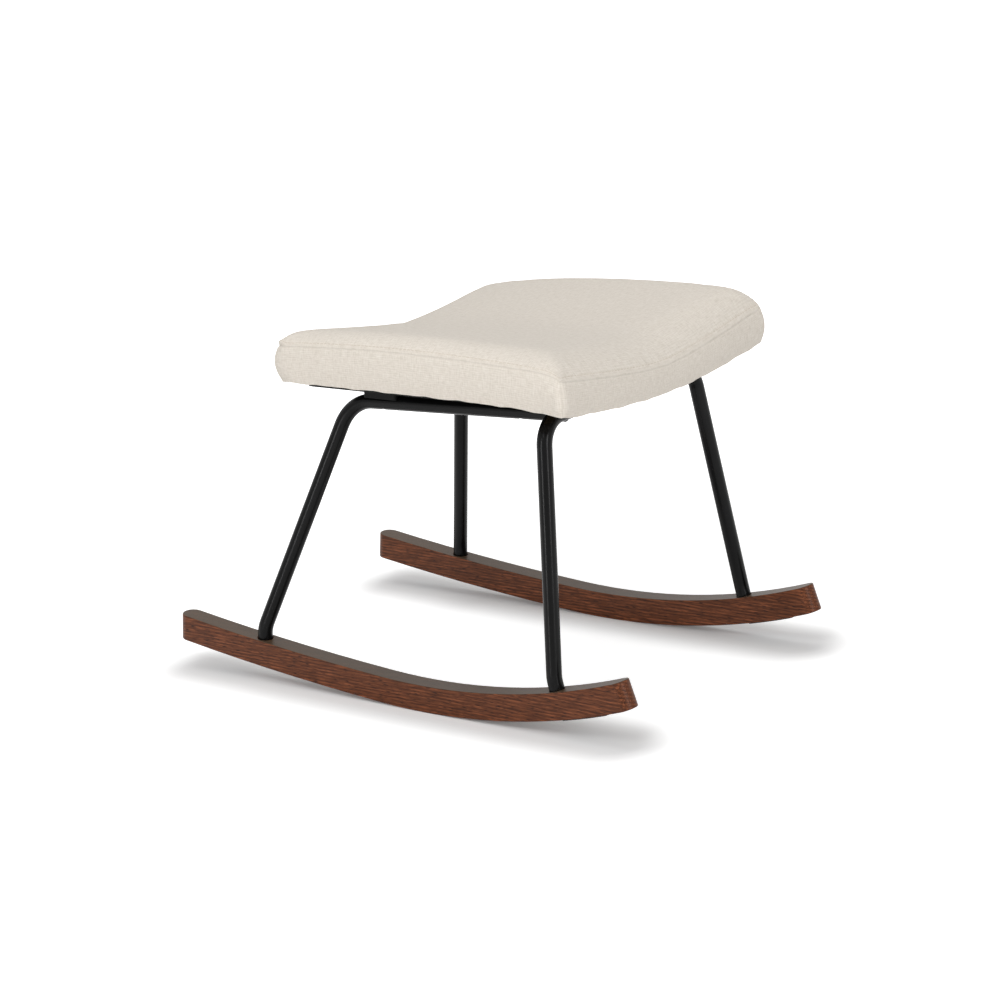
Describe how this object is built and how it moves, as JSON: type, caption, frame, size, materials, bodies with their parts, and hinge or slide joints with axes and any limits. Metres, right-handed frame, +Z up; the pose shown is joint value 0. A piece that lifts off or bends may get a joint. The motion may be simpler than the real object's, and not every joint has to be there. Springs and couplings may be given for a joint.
{
  "type": "rocking footstool",
  "caption": "Rocking footstool: a saddle-shaped upholstered seat on a black bent-tube frame whose feet stand in curved wooden rockers.",
  "frame": {"origin": "middle of the stool's base: halfway along and between the rockers, at the height of their lowest line", "axes": "+Z up, +Y along the rockers to the rear, where the rockers reach further past the feet and the leg tubes splay back, +X across"},
  "size_m": [0.426, 0.729, 0.4602],
  "materials": {
    "rocker_wood": "open grain stained walnut under satin lacquer",
    "frame_black": "black powder coat, satin",
    "bolt_black": "black oxide",
    "zinc_steel": "zinc plated",
    "spacer_black": "moulded black nylon",
    "pad_rubber": "matt dark rubber",
    "plywood": "raw bent plywood",
    "panel_black": "thin plywood, black lacquer",
    "linen": "off-white linen weave with topstitched seams",
    "foam": "upholstery foam"
  },
  "bodies": {
    "root": {"base_panel": "panel_black", "cover_front_band": "linen", "cover_hem": "linen", "cover_left_band": "linen", "cover_rear_band": "linen", "cover_right_band": "linen", "cover_staples": "zinc_steel", "cover_top": "linen", "cushion_foam": "foam", "front_hoop": "frame_black", "front_spacers": "spacer_black", "left_rear_leg": "frame_black", "left_rocker": "rocker_wood", "leg_plugs": "zinc_steel", "panel_screws": "bolt_black", "rear_cross_rail": "frame_black", "rear_spacers": "spacer_black", "right_rear_leg": "frame_black", "right_rocker": "rocker_wood", "rocker_bolts": "bolt_black", "rocker_washers": "zinc_steel", "seat_board": "plywood", "seat_bolts": "bolt_black", "stop_pads": "pad_rubber", "tee_nuts": "zinc_steel"}
  },
  "joints": []
}
